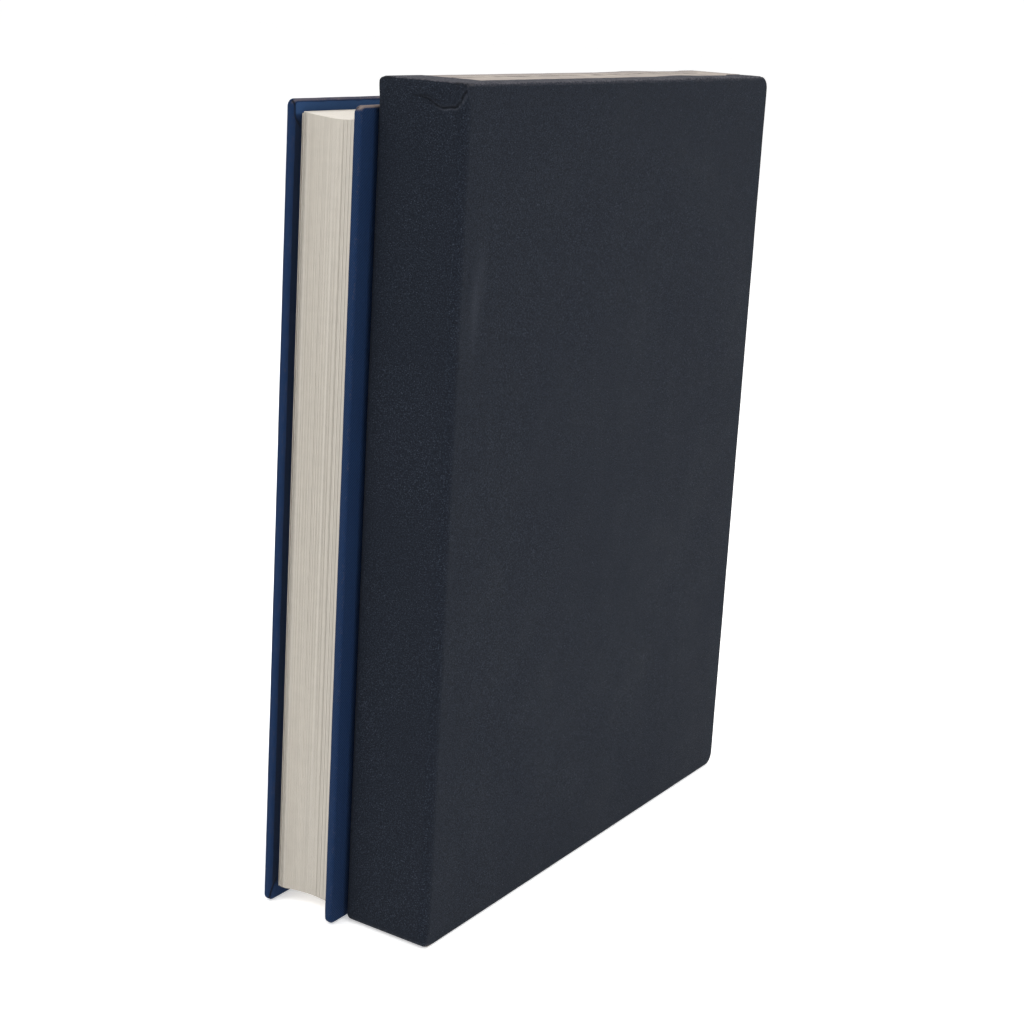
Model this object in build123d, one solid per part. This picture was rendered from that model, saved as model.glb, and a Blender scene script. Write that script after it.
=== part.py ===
from build123d import *
import math
import os

# A cloth-bound logbook standing on its tail beside the open-mouthed slipcase that it belongs in.
# Millimetres. X is the thickness, Y the depth (-Y is the case's closed back and the book's
# fore-edge, +Y the case's mouth and the book's spine), Z is up. The origin is the middle of the
# slipcase's foot.

# ---- Logbook: driving sizes ----
COVER_HEIGHT = 305.0
COVER_DEPTH = 220.0            # fore-edge of the boards to the round of the spine
BOARD_THICK = 2.7
COVER_CLOTH = 0.35
COVER_EDGE_ROUND = 0.9         # softness of the cloth over the board's edges
TURN_IN = 15.0                 # width of cloth folded onto the inside of a board
PASTEDOWN = 0.2
PASTEDOWN_INSET = 3.5          # cloth left showing round a pastedown
HEAD_SQUARE = 5.0              # boards stand this far proud of the leaves at head and tail
FORE_SQUARE = 3.0              # and at the fore-edge
SIGNATURES = 13
SIGNATURE_THICK = 1.78
LEAF_GROUPS = 3                # loose leaf groups at the front of the book
LEAF_GROUP_THICK = 0.3
FLYLEAF = 0.2
LEAF_GAP = 0.1
FRONT_GAP = 0.8                # air between the front cover and its flyleaf
SPINE_RISE = 3.0               # roundness of the sewn spine
SEWN_MARGIN = 5.4              # width of the flyleaves that is held by the sewing
ROOT_GAP = 0.3                 # running gap between a turning leaf and the sewn margin
ROOT_STEP = 0.8                # each leaf under the flyleaf is held this much wider

# ---- Spine build-up ----
SPINE_GLUE = 0.05
MULL = 0.3
SPINE_LINING = 0.3
HOLLOW = 0.3
STIFFENER = 0.6
JOINT_GROOVE = 6.0             # from a board's spine edge to the hinge line
HINGE_INSET = 0.4              # the joint cloth stops this short of the hinge line
HEADBAND_RADIUS = 0.8
THREAD_RADIUS = 0.2
THREAD_GAP = 0.02
STITCH_LENGTH = 6.0
STITCH_INSET = 12.0            # kettle stitches, from the head and the tail

# ---- Slipcase: driving sizes ----
CASE_CLOTH = 0.25
CASE_LINING = 0.25
SIDE_BOARD = 1.1
END_BOARD = 2.5                # head and tail boards
BOOK_FIT = 0.4                 # total clearance in thickness
HEAD_ROOM = 4.0                # total clearance in height
MOUTH_ROOM = 6.4               # the case is this much deeper than the book
BACK_EDGE_ROUND = 3.5
MOUTH_CORNER = 5.0
FOOT_CORNER = 3.0
HEAD_CORNER = 1.5
SIDE_TURN = 11.5               # cloth folded over the head and tail from the sides
BACK_TURN = 23.0
MOUTH_TURN = 17.0
INNER_TURN = 12.0              # cloth folded into the mouth
END_PAPER_GAP = 0.1

# ---- Standing side by side ----
STAND_GAP = 1.6
BOOK_FORWARD = 7.0             # the book's fore-edge stands in front of the case's back

# ---- Worked out from the sizes above ----
cover_thick = BOARD_THICK + 2 * COVER_CLOTH
loose_thick = LEAF_GROUPS * (LEAF_GROUP_THICK + LEAF_GAP) + LEAF_GAP + FLYLEAF
block_thick = SIGNATURES * SIGNATURE_THICK
sewn_thick = block_thick + loose_thick
back_leaf_room = FLYLEAF + 2 * LEAF_GAP
book_thick = 2 * (cover_thick + PASTEDOWN) + back_leaf_room + sewn_thick + FRONT_GAP

case_wall = CASE_CLOTH + SIDE_BOARD + CASE_LINING
end_wall = CASE_CLOTH + END_BOARD + CASE_LINING
case_thick = book_thick + BOOK_FIT + 2 * case_wall
case_height = COVER_HEIGHT + HEAD_ROOM + 2 * end_wall
case_depth = COVER_DEPTH + MOUTH_ROOM + case_wall
case_half = case_thick / 2
back_y = -case_depth / 2
mouth_y = case_depth / 2

back_outer_x = -case_half - STAND_GAP
front_outer_x = back_outer_x - book_thick
back_inner_x = back_outer_x - cover_thick
front_inner_x = front_outer_x + cover_thick
fore_y = back_y - BOOK_FORWARD
spine_y = fore_y + COVER_DEPTH
spine_layers = SPINE_GLUE + MULL + SPINE_LINING + HOLLOW + STIFFENER + COVER_CLOTH
fold_y = spine_y - spine_layers            # the middle signature's fold
leaf_fore_y = fore_y + FORE_SQUARE
leaf_depth = fold_y - SPINE_RISE - leaf_fore_y
shoulder_y = leaf_fore_y + leaf_depth
hinge_y = shoulder_y + COVER_CLOTH / 2
board_spine_y = hinge_y - JOINT_GROOVE
leaf_z = HEAD_SQUARE
leaf_top = COVER_HEIGHT - HEAD_SQUARE
leaf_height = leaf_top - leaf_z

block_back_x = back_inner_x - PASTEDOWN - back_leaf_room
block_front_x = block_back_x - block_thick
flyleaf_outer_x = block_front_x - loose_thick
back_flyleaf_x = block_back_x + LEAF_GAP + FLYLEAF
spine_mid_x = (block_back_x + flyleaf_outer_x) / 2
spine_half = sewn_thick / 2
spine_radius = (spine_half ** 2 + SPINE_RISE ** 2) / (2 * SPINE_RISE)
spine_centre_y = fold_y - spine_radius
fold_radius = SIGNATURE_THICK / 2
root_y = shoulder_y - SEWN_MARGIN

front_hinge_x = front_inner_x - COVER_CLOTH / 2
back_hinge_x = back_inner_x + COVER_CLOTH / 2


def block(x0, x1, y0, y1, z0, z1):
    """A box given by its faces."""
    size = Box(abs(x1 - x0), abs(y1 - y0), abs(z1 - z0))
    return Pos((x0 + x1) / 2, (y0 + y1) / 2, (z0 + z1) / 2) * size


def save(node, shape):
    """Write one node."""
    export_step(shape, f"parts/{node}.step")


# ---------------------------------------------------------------- logbook covers
def cover_wrap(outer_x, inward):
    """Cloth round one board: outer face, edges and the turned-in margin inside."""
    inner_x = outer_x + inward * cover_thick
    outside = block(outer_x, inner_x, fore_y, board_spine_y, 0, COVER_HEIGHT)
    outside = fillet(outside.edges().filter_by(Axis.X, reverse=True), COVER_EDGE_ROUND)
    window = block(
        inner_x - inward * 2 * COVER_CLOTH,
        inner_x + inward * COVER_CLOTH,
        fore_y + TURN_IN,
        board_spine_y - COVER_CLOTH,
        TURN_IN,
        COVER_HEIGHT - TURN_IN,
    )
    return outside - cover_board(outer_x, inward) - window


def cover_board(outer_x, inward):
    """The board inside the cloth."""
    return block(
        outer_x + inward * COVER_CLOTH,
        outer_x + inward * (COVER_CLOTH + BOARD_THICK),
        fore_y + COVER_CLOTH,
        board_spine_y - COVER_CLOTH,
        COVER_CLOTH,
        COVER_HEIGHT - COVER_CLOTH,
    )


def joint_cloth(outer_x, inward):
    """Cloth lying in the groove between the board and the hinge line."""
    inner_x = outer_x + inward * cover_thick
    return block(
        inner_x - inward * COVER_CLOTH,
        inner_x,
        board_spine_y,
        hinge_y - HINGE_INSET,
        0,
        COVER_HEIGHT,
    )


def pastedown(outer_x, inward):
    """Paper that lines a cover, over the turned-in cloth and the joint."""
    inner_x = outer_x + inward * cover_thick
    sheet = block(
        inner_x,
        inner_x + inward * PASTEDOWN,
        fore_y + PASTEDOWN_INSET,
        hinge_y - HINGE_INSET,
        leaf_z,
        leaf_top,
    )
    filling = block(
        inner_x - inward * COVER_CLOTH,
        inner_x,
        fore_y + TURN_IN,
        board_spine_y - COVER_CLOTH,
        TURN_IN,
        COVER_HEIGHT - TURN_IN,
    )
    return sheet + filling


def make_cover(side, outer_x, inward):
    save(f"{side}_board", cover_board(outer_x, inward))
    save(f"{side}_cover_cloth", cover_wrap(outer_x, inward))
    save(f"{side}_joint_cloth", joint_cloth(outer_x, inward))
    save(f"{side}_pastedown", pastedown(outer_x, inward))


# ---------------------------------------------------------------- sewn text block
def fold_centre(index):
    """Middle of a signature's round fold, which touches the round of the spine from inside."""
    x = block_back_x - (index + 0.5) * SIGNATURE_THICK
    across = x - spine_mid_x
    y = spine_centre_y + math.sqrt((spine_radius - fold_radius) ** 2 - across ** 2)
    return x, y


def signature(index):
    """One folded gathering of sheets, with its round fold at the spine."""
    x, y = fold_centre(index)
    fore_edge = y + fold_radius - leaf_depth
    sheets = block(x - fold_radius, x + fold_radius, fore_edge, y, leaf_z, leaf_top)
    fold = Pos(x, y, COVER_HEIGHT / 2) * Cylinder(fold_radius, leaf_height)
    return sheets + fold


def leaf_root(index):
    """Edge of the sewn margin for front leaf number index; the last is the flyleaf."""
    return root_y - (LEAF_GROUPS - index) * ROOT_STEP


def leaf_near_x(index):
    """Inner face of front leaf number index, from 0."""
    return block_front_x - LEAF_GAP - index * (LEAF_GROUP_THICK + LEAF_GAP)


def leaf_far_x(index):
    """Outer face of front leaf number index."""
    thick = FLYLEAF if index == LEAF_GROUPS else LEAF_GROUP_THICK
    return leaf_near_x(index) - thick


def sewn_margin(inner_x, outer_x, held_y):
    """The gutter strip of a leaf, sewn and glued to what lies under it."""
    y0 = held_y + ROOT_GAP
    y1 = shoulder_y - SPINE_GLUE
    return block(inner_x, outer_x, y0, y1, leaf_z, leaf_top)


def front_sewn_margin():
    """The front leaves' gutter strips, stepped so that each leaf turns clear of the next."""
    strips = [
        sewn_margin(block_front_x, leaf_far_x(index), leaf_root(index))
        for index in range(LEAF_GROUPS + 1)
    ]
    return strips[0] + strips[1:]


def turning_leaf(near_x, far_x, held_y):
    """A leaf, or a few leaves, from the sewn margin to the fore-edge."""
    return block(near_x, far_x, leaf_fore_y, held_y, leaf_z, leaf_top)


def spine_arc(inner_radius, thick, z0, z1):
    """A curved strip, as wide as the sewn leaves, that follows the round of the spine."""
    half = math.asin(spine_half / inner_radius)
    outer_radius = inner_radius + thick

    def point(radius, angle):
        return (spine_mid_x + radius * math.sin(angle), spine_centre_y + radius * math.cos(angle))

    outer = ThreePointArc(point(outer_radius, -half), point(outer_radius, 0), point(outer_radius, half))
    inner = ThreePointArc(point(inner_radius, -half), point(inner_radius, 0), point(inner_radius, half))
    side_a = Line(outer @ 0, inner @ 0)
    side_b = Line(outer @ 1, inner @ 1)
    face = make_face(Wire([outer, side_a, inner, side_b]))
    return Pos(0, 0, z0) * extrude(face, z1 - z0)


def headband(z):
    """The corded band that lies on the leaves' edge at the spine."""
    ring_radius = spine_radius - HEADBAND_RADIUS
    half = math.asin(spine_half / spine_radius)
    start = (
        spine_mid_x - ring_radius * math.sin(half),
        spine_centre_y + ring_radius * math.cos(half),
        z,
    )
    outward = Vector(-math.sin(half), math.cos(half), 0)
    profile = Plane(origin=start, x_dir=outward, z_dir=outward.cross(Vector(0, 0, 1)))
    section = profile * Circle(HEADBAND_RADIUS)
    centre = Axis((spine_mid_x, spine_centre_y, z), (0, 0, -1))
    return revolve(section, centre, 2 * math.degrees(half))


def kettle_stitches():
    """Linking stitches in the grooves between the signatures' folds."""
    stitches = []
    for index in range(1, SIGNATURES):
        near = Vector(*fold_centre(index - 1))
        far = Vector(*fold_centre(index))
        apart = (far - near).length
        outward = Vector(0, 0, 1).cross(far - near).normalized() * -1
        reach = math.sqrt((fold_radius + THREAD_RADIUS + THREAD_GAP) ** 2 - (apart / 2) ** 2)
        place = (near + far) / 2 + outward * reach
        for z in (leaf_z + STITCH_INSET, leaf_top - STITCH_INSET):
            stitches.append(Pos(place.X, place.Y, z) * Cylinder(THREAD_RADIUS, STITCH_LENGTH))
    return Compound(children=stitches)


def make_text_block():
    for index in range(SIGNATURES):
        save(f"signature_{index + 1:02d}", signature(index))
    save("front_sewn_margin", front_sewn_margin())
    save("back_sewn_margin", sewn_margin(block_back_x, back_flyleaf_x, root_y))
    for index in range(LEAF_GROUPS + 1):
        name = "front_flyleaf" if index == LEAF_GROUPS else f"entry_leaves_{index + 1}"
        save(name, turning_leaf(leaf_near_x(index), leaf_far_x(index), leaf_root(index)))
    save("back_flyleaf", turning_leaf(back_flyleaf_x - FLYLEAF, back_flyleaf_x, root_y))
    save("kettle_stitches", kettle_stitches())
    save("headband", headband(leaf_top + HEADBAND_RADIUS))
    save("tailband", headband(leaf_z - HEADBAND_RADIUS))


def make_spine():
    mull_radius = spine_radius + SPINE_GLUE
    lining_radius = mull_radius + MULL
    stiffener_radius = lining_radius + SPINE_LINING + HOLLOW
    cloth_radius = stiffener_radius + STIFFENER
    top = COVER_HEIGHT - COVER_CLOTH
    save("mull", spine_arc(mull_radius, MULL, leaf_z, leaf_top))
    save("spine_lining", spine_arc(lining_radius, SPINE_LINING, leaf_z, leaf_top))
    save("spine_stiffener", spine_arc(stiffener_radius, STIFFENER, COVER_CLOTH, top))
    save("spine_cloth", spine_arc(cloth_radius, COVER_CLOTH, 0, COVER_HEIGHT))


# ---------------------------------------------------------------- slipcase
def case_body(inset):
    """The case as a solid block with soft corners, shrunk by inset on every face."""
    half = case_half - inset
    y0 = back_y + inset
    y1 = mouth_y - inset
    z0 = inset
    z1 = case_height - inset
    side = block(-half, half, y0, y1, z0, z1)

    def soften(solid, y, z, radius):
        edges = solid.edges().filter_by(Axis.X)
        edge = edges.sort_by(lambda e: (e.center().Y - y) ** 2 + (e.center().Z - z) ** 2)[0]
        return fillet(edge, radius - inset)

    side = soften(side, y1, z1, MOUTH_CORNER)
    side = soften(side, y1, z0, MOUTH_CORNER)
    side = soften(side, y0, z0, FOOT_CORNER)
    side = soften(side, y0, z1, HEAD_CORNER)
    plan = block(-half, half, y0, y1, z0, z1)
    back_edges = plan.edges().filter_by(Axis.Z).group_by(Axis.Y)[0]
    return side & fillet(back_edges, BACK_EDGE_ROUND - inset)


def hollow(wall, end, back, length):
    """The box left inside walls of these thicknesses, out to length past the mouth."""
    half = case_half - wall
    return block(-half, half, back_y + back, mouth_y + length, end, case_height - end)


def end_window(z0, z1):
    """The part of the head or tail that the folded cloth leaves bare."""
    half = case_half - SIDE_TURN
    return block(-half, half, back_y + BACK_TURN, mouth_y - MOUTH_TURN, z0, z1)


def case_cloth():
    """Cloth round the back and sides, folded over the head, the tail and into the mouth."""
    board_wall = CASE_CLOTH + SIDE_BOARD
    board_end = CASE_CLOTH + END_BOARD
    skin = case_body(0) - case_body(CASE_CLOTH)
    skin -= hollow(board_wall, board_end, board_wall, CASE_CLOTH)
    skin -= end_window(0, CASE_CLOTH)
    skin -= end_window(case_height - CASE_CLOTH, case_height)
    lip = hollow(board_wall, board_end, case_depth - INNER_TURN, 0)
    lip -= hollow(case_wall, end_wall, 0, CASE_CLOTH)
    return skin + (lip & case_body(0))


def make_case_boards():
    board_wall = CASE_CLOTH + SIDE_BOARD
    board_end = CASE_CLOTH + END_BOARD
    core = case_body(CASE_CLOTH)
    inner = case_half - board_wall
    outer = case_half
    back_inner_y = back_y + board_wall
    save("case_left_board", core & block(-outer, -inner, back_y, mouth_y, 0, case_height))
    save("case_right_board", core & block(inner, outer, back_y, mouth_y, 0, case_height))
    save("case_back_board", core & block(-inner, inner, back_y, back_inner_y, 0, case_height))
    save("case_tail_board", core & block(-inner, inner, back_inner_y, mouth_y, 0, board_end))
    head_z = case_height - board_end
    save("case_head_board", core & block(-inner, inner, back_inner_y, mouth_y, head_z, case_height))


def make_case_linings():
    board_wall = CASE_CLOTH + SIDE_BOARD
    board_end = CASE_CLOTH + END_BOARD
    half = case_half - board_wall
    inner = case_half - case_wall
    y0 = back_y + board_wall
    y1 = mouth_y - INNER_TURN
    z0 = board_end
    z1 = case_height - board_end
    inner_z0 = end_wall
    inner_z1 = case_height - end_wall
    save("case_left_lining", block(-half, -inner, y0, y1, z0, z1))
    save("case_right_lining", block(inner, half, y0, y1, z0, z1))
    save("case_back_lining", block(-inner, inner, y0, y0 + CASE_LINING, z0, z1))
    save("case_tail_lining", block(-inner, inner, y0 + CASE_LINING, y1, z0, inner_z0))
    save("case_head_lining", block(-inner, inner, y0 + CASE_LINING, y1, inner_z1, z1))


def end_paper(z0, z1):
    """Paper that covers the head or tail between the folded cloth."""
    half = case_half - SIDE_TURN - END_PAPER_GAP
    y0 = back_y + BACK_TURN + END_PAPER_GAP
    y1 = mouth_y - MOUTH_TURN - END_PAPER_GAP
    return block(-half, half, y0, y1, z0, z1)


def make_case():
    make_case_boards()
    make_case_linings()
    foot = block(-case_half, case_half, back_y, mouth_y, 0, CASE_CLOTH)
    cloth = case_cloth()
    save("case_cloth", cloth - foot)
    save("case_foot_fold", cloth & foot)
    save("case_tail_paper", end_paper(0, CASE_CLOTH))
    save("case_head_paper", end_paper(case_height - CASE_CLOTH, case_height))


def print_places():
    """The hinge lines and overall sizes, for the record of the assembly."""
    print("book thick", round(book_thick, 3), "case", round(case_thick, 3), case_depth, case_height)
    print("front hinge", round(front_hinge_x, 3), round(hinge_y, 3))
    print("back hinge", round(back_hinge_x, 3), round(hinge_y, 3))
    for index in range(LEAF_GROUPS + 1):
        print("front leaf", index + 1, round(leaf_far_x(index), 3), round(leaf_root(index), 3))
    print("back flyleaf", round(back_flyleaf_x, 3), round(root_y, 3))
    print("fore", round(fore_y, 3), "spine", round(spine_y, 3), "shoulder", round(shoulder_y, 3))
    print("cavity half", round(case_half - case_wall, 3), "leaf depth", round(leaf_depth, 3))


os.makedirs("parts", exist_ok=True)
make_cover("front", front_outer_x, 1)
make_cover("back", back_outer_x, -1)
make_text_block()
make_spine()
make_case()
print_places()
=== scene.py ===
import math
import random

import bmesh
import bpy
import numpy as np
from mathutils import Matrix, Vector, noise


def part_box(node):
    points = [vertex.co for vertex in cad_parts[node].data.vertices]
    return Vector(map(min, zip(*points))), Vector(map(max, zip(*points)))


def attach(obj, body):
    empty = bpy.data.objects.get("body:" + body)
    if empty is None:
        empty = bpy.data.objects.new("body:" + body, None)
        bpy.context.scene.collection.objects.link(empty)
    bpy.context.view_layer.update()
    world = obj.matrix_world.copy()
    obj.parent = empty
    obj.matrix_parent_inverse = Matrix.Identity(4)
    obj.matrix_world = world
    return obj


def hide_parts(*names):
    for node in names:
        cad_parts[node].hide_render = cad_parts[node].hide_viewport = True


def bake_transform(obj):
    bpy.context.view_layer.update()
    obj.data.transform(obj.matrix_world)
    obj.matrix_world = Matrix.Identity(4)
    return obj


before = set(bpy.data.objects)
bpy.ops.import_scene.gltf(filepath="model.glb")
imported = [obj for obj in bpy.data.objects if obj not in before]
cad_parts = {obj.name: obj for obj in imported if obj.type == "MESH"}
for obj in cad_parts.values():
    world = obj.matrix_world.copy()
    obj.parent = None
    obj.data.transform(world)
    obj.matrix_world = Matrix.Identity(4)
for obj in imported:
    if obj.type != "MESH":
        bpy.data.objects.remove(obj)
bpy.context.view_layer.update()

MM = 0.001
SEED = 7
chance = random.Random(SEED)


# ------------------------------------------------------------------ places, read from the frame
def low(node):
    """Lowest corner of a CAD node, in millimetres."""
    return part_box(node)[0] / MM


def high(node):
    """Highest corner of a CAD node, in millimetres."""
    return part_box(node)[1] / MM


CASE_HALF = high("case_cloth").x
CASE_BACK = low("case_cloth").y
CASE_MOUTH = high("case_cloth").y
CASE_TOP = high("case_cloth").z
CASE_WALL = CASE_HALF - high("case_back_lining").x
CASE_INSIDE_TOP = low("case_head_lining").z
CASE_INSIDE_FOOT = high("case_tail_lining").z
CASE_TURN_IN = high("case_right_lining").y
PAPER_SIDE = high("case_head_paper").x
PAPER_BACK = low("case_head_paper").y
PAPER_MOUTH = high("case_head_paper").y

COVER_TOP = high("front_cover_cloth").z
COVER_FORE = low("front_cover_cloth").y
COVER_SPINE = high("front_cover_cloth").y
LEAF_FOOT = low("signature_01").z
LEAF_TOP = high("signature_01").z
BLOCK_LEFT = low("front_flyleaf").x
BLOCK_RIGHT = high("signature_01").x
SIGNATURES = sorted(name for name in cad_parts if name.startswith("signature_"))


# ------------------------------------------------------------------ mesh building
class Patchwork:
    """Collects grids of points, in millimetres, and sews them into one mesh where they touch."""

    def __init__(self):
        self.points = []
        self.faces = []
        self.values = {}

    def grid(self, points, keep=None, **values):
        """Adds a rows x columns x 3 grid. keep(row, column) says which of its cells have a face."""
        rows, columns = points.shape[:2]
        first = len(self.points)
        self.points.extend(points.reshape(-1, 3).tolist())
        for name in set(self.values) | set(values):
            known = self.values.setdefault(name, [0.0] * first)
            new = values.get(name, np.zeros((rows, columns)))
            known.extend(np.asarray(new, float).reshape(-1).tolist())
        for row in range(rows - 1):
            for column in range(columns - 1):
                if keep is not None and not keep(row, column):
                    continue
                corner = first + row * columns + column
                self.faces.append((corner, corner + 1, corner + columns + 1, corner + columns))

    def slab(self, front, back, **values):
        """Two grids back to back, closed on their four sides."""
        self.grid(front, **values)
        self.grid(back[:, ::-1], **values)
        for end in (0, -1):
            self.grid(np.stack([front[:, end], back[:, end]], 1))
        for end in (0, -1):
            self.grid(np.stack([front[end], back[end]], 0))

    def build(self, name, merge=0.002, inside=None):
        """The mesh object. Its faces look away from the point inside, where one is given."""
        mesh = bpy.data.meshes.new(name)
        mesh.from_pydata([[c * MM for c in point] for point in self.points], [], self.faces)
        for value_name, values in self.values.items():
            layer = mesh.attributes.new(value_name, "FLOAT", "POINT")
            layer.data.foreach_set("value", np.array(values, np.float32))
        edit = bmesh.new()
        edit.from_mesh(mesh)
        bmesh.ops.remove_doubles(edit, verts=edit.verts, dist=merge * MM)
        bmesh.ops.dissolve_degenerate(edit, edges=edit.edges, dist=merge * MM * 0.1)
        loose = [v for v in edit.verts if not v.link_faces]
        bmesh.ops.delete(edit, geom=loose, context="VERTS")
        bmesh.ops.recalc_face_normals(edit, faces=edit.faces)
        if inside is not None:
            turn_outward(edit, inside)
        edit.to_mesh(mesh)
        edit.free()
        mesh.shade_smooth()
        piece = bpy.data.objects.new(name, mesh)
        bpy.context.scene.collection.objects.link(piece)
        return piece


def turn_outward(edit, inside):
    """Flips all faces if most of them look towards the point inside, in millimetres."""
    centre = np.array(inside) * MM
    looks = sum(
        face.calc_area() * float(np.dot(face.normal, np.array(face.calc_center_median()) - centre))
        for face in edit.faces
    )
    if looks < 0:
        bmesh.ops.reverse_faces(edit, faces=edit.faces)


def thicken(piece, thickness):
    """Gives an open surface its real thickness, inward, and makes it final."""
    solid = piece.modifiers.new("thickness", "SOLIDIFY")
    solid.thickness = thickness * MM
    solid.offset = -1
    make_final(piece)


def make_final(piece):
    """Applies the modifiers."""
    graph = bpy.context.evaluated_depsgraph_get()
    final = bpy.data.meshes.new_from_object(piece.evaluated_get(graph))
    piece.modifiers.clear()
    piece.data = final


def sharpen(piece, degrees):
    """Smooth shading that stops at edges sharper than this."""
    piece.data.set_sharp_from_angle(angle=math.radians(degrees))


def smooth_step(value, start, end):
    share = np.clip((np.asarray(value, float) - start) / (end - start), 0, 1)
    return share * share * (3 - 2 * share)


def bell(distance, width):
    return np.exp(-((np.asarray(distance, float) / width) ** 2))


def ripple(points, scale, height, seed=0.0):
    """Smooth uneven height at each point of a grid, in millimetres."""
    flat = points.reshape(-1, 3) / scale + seed
    values = [noise.noise(point) for point in flat.tolist()]
    return np.array(values).reshape(points.shape[:2]) * height


def spread(start, end, step):
    """Evenly spaced values from start to end, about step apart."""
    return np.linspace(start, end, max(2, int(round(abs(end - start) / step)) + 1))


def path_curve(corners, samples):
    """A smooth curve through a few points, as an array of points."""
    corners = np.array(corners, float)
    known = np.linspace(0, 1, len(corners))
    wanted = np.linspace(0, 1, samples)
    padded = np.vstack([2 * corners[0] - corners[1], corners, 2 * corners[-1] - corners[-2]])
    result = []
    for share in wanted:
        index = min(int(share * (len(corners) - 1)), len(corners) - 2)
        local = (share - known[index]) * (len(corners) - 1)
        a, b, c, d = padded[index:index + 4]
        result.append(
            0.5 * (2 * b + (c - a) * local + (2 * a - 5 * b + 4 * c - d) * local ** 2
                   + (3 * b - a - 3 * c + d) * local ** 3)
        )
    return np.array(result)


# ------------------------------------------------------------------ materials
class Shader:
    """A node material with one Principled shader, and short ways to add nodes to it."""

    def __init__(self, name, colour, roughness, sheen=0.0, sheen_colour=(1, 1, 1)):
        self.material = bpy.data.materials.new(name)
        self.material.use_nodes = True
        self.tree = self.material.node_tree
        self.shader = self.tree.nodes["Principled BSDF"]
        self.base = linear(colour)
        for socket, value in {
            "Roughness": roughness, "Specular IOR Level": 0.1, "Sheen Weight": sheen,
            "Sheen Roughness": 0.4, "Sheen Tint": (*sheen_colour, 1),
        }.items():
            self.set(self.shader, socket, value)
        self.place = self.add("ShaderNodeTexCoord").outputs["Object"]

    def add(self, kind, inputs=(), **settings):
        """A new node, with its settings and what goes into its inputs."""
        node = self.tree.nodes.new(kind)
        for name, value in settings.items():
            setattr(node, name, value)
        for name, value in dict(inputs).items():
            self.set(node, name, value)
        return node

    def set(self, node, name, value):
        socket = node.inputs[name]
        if isinstance(value, bpy.types.NodeSocket):
            self.tree.links.new(value, socket)
        else:
            socket.default_value = value

    def math(self, operation, first, *others):
        """An operation on one value, or on what there is so far and each further value."""
        for other in others or (0.0,):
            node = self.add("ShaderNodeMath", {0: first, 1: other}, operation=operation)
            first = node.outputs[0]
        return first

    def plus(self, *values):
        return self.math("ADD", *values)

    def times(self, *values):
        return self.math("MULTIPLY", *values)

    def within(self, value, middle, half):
        """1 where the value is less than half away from the middle."""
        return self.math("LESS_THAN", self.math("ABSOLUTE", self.math("SUBTRACT", value, middle)), half)

    def stretched(self, x, y, z):
        """The place on the surface, with each direction scaled."""
        inputs = {0: self.place, 1: (x, y, z)}
        return self.add("ShaderNodeVectorMath", inputs, operation="MULTIPLY").outputs[0]

    def noise(self, scale, detail=2.0, roughness=0.5, place=None):
        """Smooth noise; scale is features per metre."""
        return self.add("ShaderNodeTexNoise", {
            "Vector": place or self.place, "Scale": scale, "Detail": detail, "Roughness": roughness,
        }).outputs["Fac"]

    def ramp(self, value, start, end, low_value=0.0, high_value=1.0):
        """value from start to end becomes low_value to high_value, and stops there."""
        return self.add("ShaderNodeMapRange", {
            "Value": value, "From Min": start, "From Max": end, "To Min": low_value, "To Max": high_value,
        }).outputs["Result"]

    def axes(self, socket=None):
        return self.add("ShaderNodeSeparateXYZ", {0: socket or self.place}).outputs

    def normal(self):
        """The three parts of the surface's direction."""
        return self.axes(self.add("ShaderNodeTexCoord").outputs["Normal"])

    def value(self, name):
        """A value that the mesh carries at its points."""
        return self.add("ShaderNodeAttribute", attribute_name=name).outputs["Fac"]

    def wave(self, along, pitch):
        """A sine of the given length in metres, from -1 to 1."""
        return self.math("SINE", self.times(along, 2 * math.pi / pitch))

    def bump(self, height, distance, strength=1.0):
        inputs = {"Height": height, "Distance": distance, "Strength": strength}
        self.set(self.shader, "Normal", self.add("ShaderNodeBump", inputs).outputs["Normal"])

    def paint(self, share, colour):
        """Lays a colour over the ones before it: a socket, or red, green and blue up to 255."""
        over = colour if isinstance(colour, bpy.types.NodeSocket) else linear(colour)
        self.base = self.mix(share, self.base, over)
        self.set(self.shader, "Base Color", self.base)

    def mix(self, share, first, second):
        """Mixes two colours, each a socket or three numbers."""
        first, second = (
            colour if isinstance(colour, bpy.types.NodeSocket) else (*colour, 1)
            for colour in (first, second)
        )
        inputs = {0: share, 6: first, 7: second}
        return self.add("ShaderNodeMix", inputs, data_type="RGBA").outputs[2]

    def rough(self, value):
        self.set(self.shader, "Roughness", value)


def linear(colour):
    """A colour as screens give it, 0 to 255, made linear."""
    shares = [channel / 255 for channel in colour]
    return tuple(
        share / 12.92 if share <= 0.04045 else ((share + 0.055) / 1.055) ** 2.4 for share in shares
    )


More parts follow.
